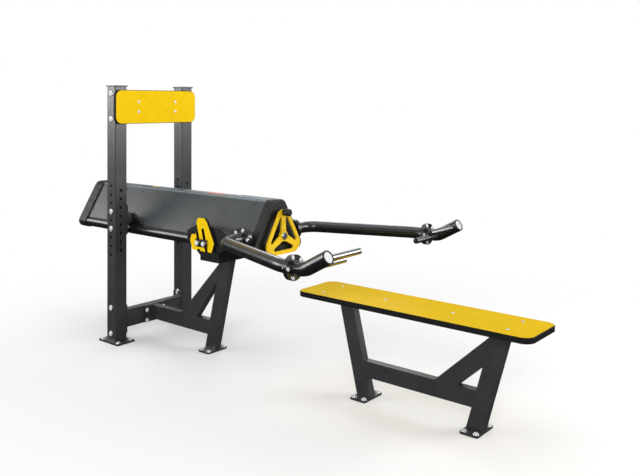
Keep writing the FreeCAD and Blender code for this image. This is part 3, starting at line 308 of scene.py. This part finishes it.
def set_of(name, spots, profile, material, body, steps=20):
    """One piece holding the same turned form at many spots; a spot is (place, axis)."""
    shape = bmesh.new()
    for at, axis in spots:
        turned_mesh(shape, profile, at, axis, steps)
    mesh = bpy.data.meshes.new(name)
    bmesh.ops.recalc_face_normals(shape, faces=shape.faces)
    shape.to_mesh(mesh)
    shape.free()
    return finished(name, mesh, material, body)


def dome(radius, height, lip=0.0008):
    """The section of a domed cover cap: a short straight rim, then a crown."""
    crown = [(radius * math.cos(a), lip + (height - lip) * math.sin(a))
             for a in [math.radians(d) for d in (0, 18, 36, 54, 72)]]
    return [(radius, -0.0005), *crown, (0, height)]


def hex_head(radius, height):
    """A chamfered hexagon head, drawn with six steps."""
    return [(radius, -0.0005), (radius, height * 0.85), (radius * 0.86, height), (0, height)]


def box_of(node):
    low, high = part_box(node)
    return Vector(low), Vector(high)


SIDES = (-1, 1)
FACETS = 24

# sections of the fasteners and the trim, from the seat outwards, as (radius, height) in metres
CAP = dome(0.0145, 0.0085)
CAP_FLANGE = [(0.0175, -0.0005), (0.0175, 0.0016), (0.0162, 0.0026), (0.0138, 0.0026)]
SMALL_CAP = dome(0.0088, 0.0052)
SMALL_FLANGE = [(0.0115, -0.0005), (0.0115, 0.0012), (0.0085, 0.002)]
BUTTON = dome(0.0085, 0.003)
SEAT_BUTTON = dome(0.0075, 0.0028)
NUT = hex_head(0.0088, 0.0065)
ANCHOR_CAP = dome(0.0115, 0.0095)
ANCHOR_FLANGE = [(0.0138, -0.0005), (0.0138, 0.0014), (0.011, 0.0022)]
STAND_CAP = dome(0.0115, 0.0075)
LATCH_CAP = dome(0.0125, 0.0068)
PLUG = [(0.0138, -0.0004), (0.0138, 0.0016), (0.0122, 0.0028), (0, 0.0028)]
COLLAR = [(0.0298, -0.002), (0.0298, 0.0012), (0.0286, 0.0022), (0.0238, 0.0022), (0.0232, 0.0008),
          (0.0232, 0.0)]
RIVET = dome(0.0046, 0.0016, 0.0003)


def capped(name, spots, body, small=False):
    """Domed plastic nut covers on flanged washers."""
    top, washer = (SMALL_CAP, SMALL_FLANGE) if small else (CAP, CAP_FLANGE)
    set_of(name + "_covers", spots, top, silver_plastic, body, FACETS)
    set_of(name + "_washers", spots, washer, bright_steel, body, FACETS)


def side_pairs(heights, distance, facing):
    """Spots on both sides of the middle plane; facing is 1 for outwards and -1 for inwards."""
    return [(Vector((0, side * distance, height)), (0, side * facing, 0))
            for height in heights for side in SIDES]


# posts: bolts through their outer faces, and through the inner faces near the floor
OUTER_BOLTS = (1.421, 1.275, 0.197, 0.050)
INNER_BOLTS = (0.197, 0.086)
post_low, post_high = box_of("left_upright")
SPREAD = -post_low.y
capped("post", side_pairs(OUTER_BOLTS, SPREAD, 1) + side_pairs(INNER_BOLTS, -post_high.y, -1), "root")

HOLE_PITCH = 0.049
bracket_low, bracket_high = box_of("left_pivot_bracket")
PIVOT_Z = (bracket_low.z + bracket_high.z) / 2
capped("pivot", side_pairs((PIVOT_Z - HOLE_PITCH, PIVOT_Z + HOLE_PITCH), SPREAD, 1), "root")

# crossmembers: bolts on the inner faces of their end plates
PLATE = 0.008
LOWER_INSET = 0.012
UPPER_INSET = 0.014
cross_low, cross_high = box_of("lower_crossmember")
head_low, head_high = box_of("upper_crossmember")
capped("crossmember",
       side_pairs((cross_low.z + LOWER_INSET, cross_high.z - LOWER_INSET), cross_high.y - PLATE, -1)
       + side_pairs((head_low.z + UPPER_INSET, head_high.z - UPPER_INSET), head_high.y - PLATE, -1),
       "root", small=True)

BOARD_BOLT_Y = 0.135
BOARD_BOLT_Z = (1.318, 1.376)
BOARD_FRONT = box_of("header_board")[1].x
board_spots = [(Vector((BOARD_FRONT, side * BOARD_BOLT_Y, height)), (1, 0, 0))
               for side in SIDES for height in BOARD_BOLT_Z]
set_of("board_bolts", board_spots, BUTTON, silver_plastic, "root")

# seat: a pair of bolts at each end and one between, as (distance from that end, distance off centre)
FRONT_PAIR = (0.120, 0.074)
FRONT_SINGLE = 0.424
REAR_SINGLE = 0.408
REAR_PAIR = (0.123, 0.070)
seat_low, seat_high = box_of("bench_seat")
seat_places = [(seat_low.x + FRONT_PAIR[0], side * FRONT_PAIR[1]) for side in SIDES]
seat_places += [(seat_low.x + FRONT_SINGLE, 0), (seat_high.x - REAR_SINGLE, 0)]
seat_places += [(seat_high.x - REAR_PAIR[0], side * REAR_PAIR[1]) for side in SIDES]
seat_spots = [(Vector((x, y, seat_high.z)), (0, 0, 1)) for x, y in seat_places]
set_of("seat_bolts", seat_spots, SEAT_BUTTON, silver_plastic, "root")

RING_BOLTS = 5


def ring_spots(centre, axis, radius, start, first, second):
    """Spots round a bolt circle; first and second are the circle's own axes."""
    turns = [start + 2 * math.pi * i / RING_BOLTS for i in range(RING_BOLTS)]
    return [(Vector(centre) + radius * (math.cos(turn) * Vector(first) + math.sin(turn) * Vector(second)),
             axis) for turn in turns]


FLANGE = 0.012
FLANGE_CIRCLE = 0.044
tube_low, tube_high = box_of("arm_cross_tube")
ARM_X = (tube_low.x + tube_high.x) / 2
ARM_Z = (tube_low.z + tube_high.z) / 2
ARM_ROOT = box_of("right_arm")[0].y
flange_spots = []
for side in SIDES:
    flange_spots += ring_spots((ARM_X, side * (ARM_ROOT + FLANGE), ARM_Z), (0, side, 0), FLANGE_CIRCLE, 0,
                               (1, 0, 0), (0, 0, 1))
capped("arm_flange", flange_spots, "lever", small=True)

# couplings: covers on the front of each flange pair, nuts on the back
COUPLING = 0.011
COUPLING_CIRCLE = 0.043
coupling_spots, coupling_backs = [], []
for node in ("left_grip_tube", "right_grip_tube"):
    low, high = box_of(node)
    for spots, toward in ((coupling_spots, 1), (coupling_backs, -1)):
        spots += ring_spots((low.x + toward * COUPLING, (low.y + high.y) / 2, ARM_Z), (toward, 0, 0),
                            COUPLING_CIRCLE, math.pi / RING_BOLTS, (0, 1, 0), (0, 0, 1))
capped("coupling", coupling_spots, "lever", small=True)
set_of("coupling_nuts", coupling_backs, NUT, bright_steel, "lever", steps=6)


def plate_corners(low_x, high_x, low_y, high_y, top, inset):
    """Spots on top of a foot plate, in from its four corners."""
    return [(Vector((x, y, top)), (0, 0, 1)) for x in (low_x + inset, high_x - inset)
            for y in (low_y + inset, high_y - inset)]


POST_INSET = 0.019
LEG_INSET = 0.015
FOOT_LENGTH = 0.084
anchors = []
for node, inset in (("left_foot_plate", POST_INSET), ("right_foot_plate", POST_INSET),
                    ("front_foot_plate", LEG_INSET)):
    low, high = box_of(node)
    anchors += plate_corners(low.x, high.x, low.y, high.y, high.z, inset)
feet_low, feet_high = box_of("bench_feet")
for start in (feet_low.x, feet_high.x - FOOT_LENGTH):
    anchors += plate_corners(start, start + FOOT_LENGTH, feet_low.y, feet_high.y, feet_high.z, LEG_INSET)
set_of("anchor_covers", anchors, ANCHOR_CAP, silver_plastic, "root", FACETS)
set_of("anchor_washers", anchors, ANCHOR_FLANGE, bright_steel, "root", FACETS)


def seat_on(part, start, toward, axis, spots):
    """Adds a spot where a ray from the start meets the part's surface."""
    inward = part.matrix_world.inverted()
    hit, at, _, _ = part.ray_cast(inward @ start, inward.to_3x3() @ toward)
    if hit:
        spots.append((part.matrix_world @ at, axis))


STAND_BOLT_Y = 0.06
STAND_BOLT_Z = (0.145, 0.086)
IN_FRONT = 0.2
stand_spots = []
for height in STAND_BOLT_Z:
    for side in SIDES:
        seat_on(NODES["stand_beam"], Vector((IN_FRONT, side * STAND_BOLT_Y, height)), Vector((-1, 0, 0)),
                (1, 0, 0), stand_spots)
set_of("stand_covers", stand_spots, STAND_CAP, silver_plastic, "root", FACETS)

LATCH_BOLT_HALF = 0.0245
clamp_low, clamp_high = box_of("latch_clamp")
CLAMP_X = (clamp_low.x + clamp_high.x) / 2
CLAMP_Z = (clamp_low.z + clamp_high.z) / 2
latch_spots = [(Vector((CLAMP_X + side * LATCH_BOLT_HALF, clamp_low.y, CLAMP_Z)), (0, -1, 0))
               for side in SIDES]
set_of("latch_covers", latch_spots, LATCH_CAP, silver_plastic, "lever", FACETS)

# black plugs in both ends of each grip bar
BAR_RADIUS = 0.014
BAR_INNER_END = 0.284
bars_low, bars_high = box_of("grip_bars")
bar_ends = []
for side in SIDES:
    for x, z in ((bars_low.x + BAR_RADIUS, bars_low.z + BAR_RADIUS),
                 (bars_high.x - BAR_RADIUS, bars_high.z - BAR_RADIUS)):
        bar_ends.append((Vector((x, side * bars_high.y, z)), (0, side, 0)))
        bar_ends.append((Vector((x, side * BAR_INNER_END, z)), (0, -side, 0)))
set_of("grip_bar_plugs", bar_ends, PLUG, black_plastic, "lever", steps=28)

# black collars round the silver discs that close the grip tubes
TUBE_RUN = 0.120
TUBE_RISE = 0.065
TIP_X, TIP_Y, TIP_Z = 1.789, 0.520, 0.755
rise = math.atan2(TUBE_RISE, TUBE_RUN)
outward = Vector((math.cos(rise), 0, math.sin(rise)))
collar_spots = [(Vector((TIP_X, side * TIP_Y, TIP_Z)), outward) for side in SIDES]
set_of("grip_tube_rims", collar_spots, COLLAR, black_plastic, "lever", steps=40)

# rivets that hold the side panels: two rows, as (distance down the slope, pitch, count, start)
RIVET_ROWS = ((0.022, 0.155, 9, 0.115), (0.175, 0.31, 5, 0.03))
ABOVE_PANEL = 0.1
panel_low, panel_high = box_of("left_side_panel")
lean = math.radians(30)
rivets = []
for side, node in zip(SIDES, ("left_side_panel", "right_side_panel")):
    out = Vector((0, side * math.cos(lean), math.sin(lean)))
    for drop, pitch, count, start in RIVET_ROWS:
        run_y = abs(panel_high.y) + drop * math.sin(lean)
        run_z = panel_high.z - drop * math.cos(lean)
        for i in range(count):
            place = Vector((panel_low.x + start + i * pitch, side * run_y, run_z))
            seat_on(NODES[node], place + out * ABOVE_PANEL, -out, out, rivets)
# the rivet domes take the near-black finish: painted shade of the rivet holes, not the rivets' own colour
set_of("panel_rivets", rivets, RIVET, painted_hole_shade, "lever", steps=14)

# marks on the load scale: plain blocks and ticks, no lettering
SCALE_MARGIN = 0.003
scale_low, scale_high = box_of("load_scale")
half = (scale_high.y - scale_low.y) / 2 - SCALE_MARGIN


def flat_marks(name, blocks, material, lift=0.00025):
    """Thin raised rectangles on the load scale; a block is (start, end, inner y, outer y)."""
    shape = bmesh.new()
    z = scale_high.z + lift
    for x0, x1, y0, y1 in blocks:
        corners = [shape.verts.new(c) for c in ((x0, y0, z), (x1, y0, z), (x1, y1, z), (x0, y1, z))]
        shape.faces.new(corners)
    mesh = bpy.data.meshes.new(name)
    shape.to_mesh(mesh)
    shape.free()
    finished(name, mesh, material, "lever")


def full_width(*stretches):
    """Blocks across the whole scale, each from its start and end along it."""
    return [(scale_low.x + start, scale_low.x + end, -half, half) for start, end in stretches]


flat_marks("scale_blocks_dark", full_width((0.29, 0.38), (0.62, 0.66)), scale_dark)
flat_marks("scale_blocks_yellow", full_width((0.385, 0.425)), scale_yellow)
flat_marks("scale_blocks_orange", full_width((0.87, 1.0)), scale_orange)
TICK_PITCH = 0.02
TICK_WIDTH = 0.0015
SHORT_TICK = 0.012
LONG_TICK = 0.022
ticks = []
for i in range(int((scale_high.x - scale_low.x) / TICK_PITCH) - 1):
    start = scale_low.x + (i + 1) * TICK_PITCH
    ticks.append((start, start + TICK_WIDTH, half - (SHORT_TICK if i % 5 else LONG_TICK), half))
flat_marks("scale_ticks", ticks, silver_plastic, lift=0.0004)


# ---------------------------------------------------------------- the stage

def area_light(name, at, target, size, power, colour=(1, 1, 1)):
    """A soft rectangular studio light aimed at a point."""
    data = bpy.data.lights.new(name, "AREA")
    data.shape = "RECTANGLE"
    data.size, data.size_y = size
    data.energy = power
    data.color = colour
    light = bpy.data.objects.new(name, data)
    light.location = at
    light.visible_camera = False
    light.rotation_euler = (Vector(target) - Vector(at)).to_track_quat("-Z", "Y").to_euler()
    bpy.context.scene.collection.objects.link(light)


floor_mesh = bpy.data.meshes.new("floor")
reach = 30
floor_corners = [(-reach, -reach, 0), (reach, -reach, 0), (reach, reach, 0), (-reach, reach, 0)]
floor_mesh.from_pydata(floor_corners, [], [(0, 1, 2, 3)])
floor = bpy.data.objects.new("floor", floor_mesh)
bpy.context.scene.collection.objects.link(floor)
floor_material, floor_tree, floor_shader = new_material("floor")
floor_tone = ramp(floor_tree, noise(floor_tree, 0.8, 2.0),
                  [(0.3, (0.755, 0.745, 0.735)), (0.7, (0.765, 0.755, 0.745))])
floor_tree.links.new(floor_tone, floor_shader.inputs["Base Color"])
floor_shader.inputs["Roughness"].default_value = 0.7
floor_shader.inputs["Specular IOR Level"].default_value = 0.0
floor_shader.inputs["Emission Color"].default_value = (1, 1, 1, 1)
floor_shader.inputs["Emission Strength"].default_value = 0.22
spot = add(floor_tree, "ShaderNodeTexCoord")
shift = add(floor_tree, "ShaderNodeVectorMath", operation="SUBTRACT")
shift.inputs[1].default_value = (1.0, 0, 0)
away = add(floor_tree, "ShaderNodeVectorMath", operation="LENGTH")
fade = add(floor_tree, "ShaderNodeMapRange", interpolation_type="SMOOTHSTEP")
fade.inputs["From Min"].default_value = 1.3
fade.inputs["From Max"].default_value = 2.9
floor_tree.links.new(spot.outputs["Object"], shift.inputs[0])
floor_tree.links.new(shift.outputs["Vector"], away.inputs[0])
floor_tree.links.new(away.outputs["Value"], fade.inputs["Value"])
glow = add(floor_tree, "ShaderNodeEmission", Strength=1.0)
blend_out = add(floor_tree, "ShaderNodeMixShader")
floor_tree.links.new(fade.outputs["Result"], blend_out.inputs[0])
floor_tree.links.new(floor_shader.outputs["BSDF"], blend_out.inputs[1])
floor_tree.links.new(glow.outputs["Emission"], blend_out.inputs[2])
floor_tree.links.new(blend_out.outputs["Shader"], floor_tree.nodes["Material Output"].inputs["Surface"])
floor_mesh.materials.append(floor_material)
floor.visible_glossy = False

world = bpy.data.worlds.new("studio")
world.use_nodes = True
sky_tree = world.node_tree
backdrop = sky_tree.nodes["Background"]
backdrop.inputs["Color"].default_value = (1, 1, 1, 1)
backdrop.inputs["Strength"].default_value = 1.0
sky = add(sky_tree, "ShaderNodeBackground", Strength=0.62)
direction = add(sky_tree, "ShaderNodeTexCoord")
parts_of = add(sky_tree, "ShaderNodeSeparateXYZ")
height = add(sky_tree, "ShaderNodeMapRange")
height.inputs["From Min"].default_value = -1.0
sky_tree.links.new(direction.outputs["Generated"], parts_of.inputs["Vector"])
sky_tree.links.new(parts_of.outputs["Z"], height.inputs["Value"])
sky_tree.links.new(ramp(sky_tree, height.outputs["Result"],
                        [(0.0, (0.02, 0.02, 0.02)), (0.46, (0.05, 0.05, 0.052)), (0.53, (0.55, 0.56, 0.58)),
                         (0.75, (0.62, 0.64, 0.66)), (1.0, (0.75, 0.76, 0.78))]), sky.inputs["Color"])
seen = add(sky_tree, "ShaderNodeLightPath")
choice = add(sky_tree, "ShaderNodeMixShader")
sky_tree.links.new(seen.outputs["Is Camera Ray"], choice.inputs[0])
sky_tree.links.new(sky.outputs["Background"], choice.inputs[1])
sky_tree.links.new(backdrop.outputs["Background"], choice.inputs[2])
sky_tree.links.new(choice.outputs["Shader"], sky_tree.nodes["World Output"].inputs["Surface"])
bpy.context.scene.world = world
bpy.context.scene.view_settings.view_transform = "Standard"

area_light("key", (4.6, -4.4, 2.9), (0.9, 0, 0.6), (2.6, 1.2), 125)
area_light("overhead", (0.6, -0.2, 4.2), (0.6, 0, 0.3), (4.4, 3.0), 38)
area_light("front", (4.9, 2.9, 2.1), (0.2, 0, 1.1), (2.6, 1.8), 115)
area_light("left", (-4.3, -2.9, 2.2), (0.0, -0.4, 1.1), (2.0, 1.8), 62)
area_light("side", (-2.1, -3.6, 1.35), (1.1, -0.5, 0.7), (2.2, 0.8), 42)
area_light("behind", (-1.6, 3.2, 2.8), (0.6, 0, 0.9), (2.6, 1.0), 30)

camera_data = bpy.data.cameras.new("camera")
camera_data.sensor_width = 36
camera_data.lens = 42.28
camera_data.shift_y = -0.209
camera = bpy.data.objects.new("camera", camera_data)
camera.location = (3.659, -2.8305, 1.3612)
camera.rotation_euler = (math.radians(90), 0, math.radians(39.62))
bpy.context.scene.collection.objects.link(camera)
bpy.context.scene.camera = camera
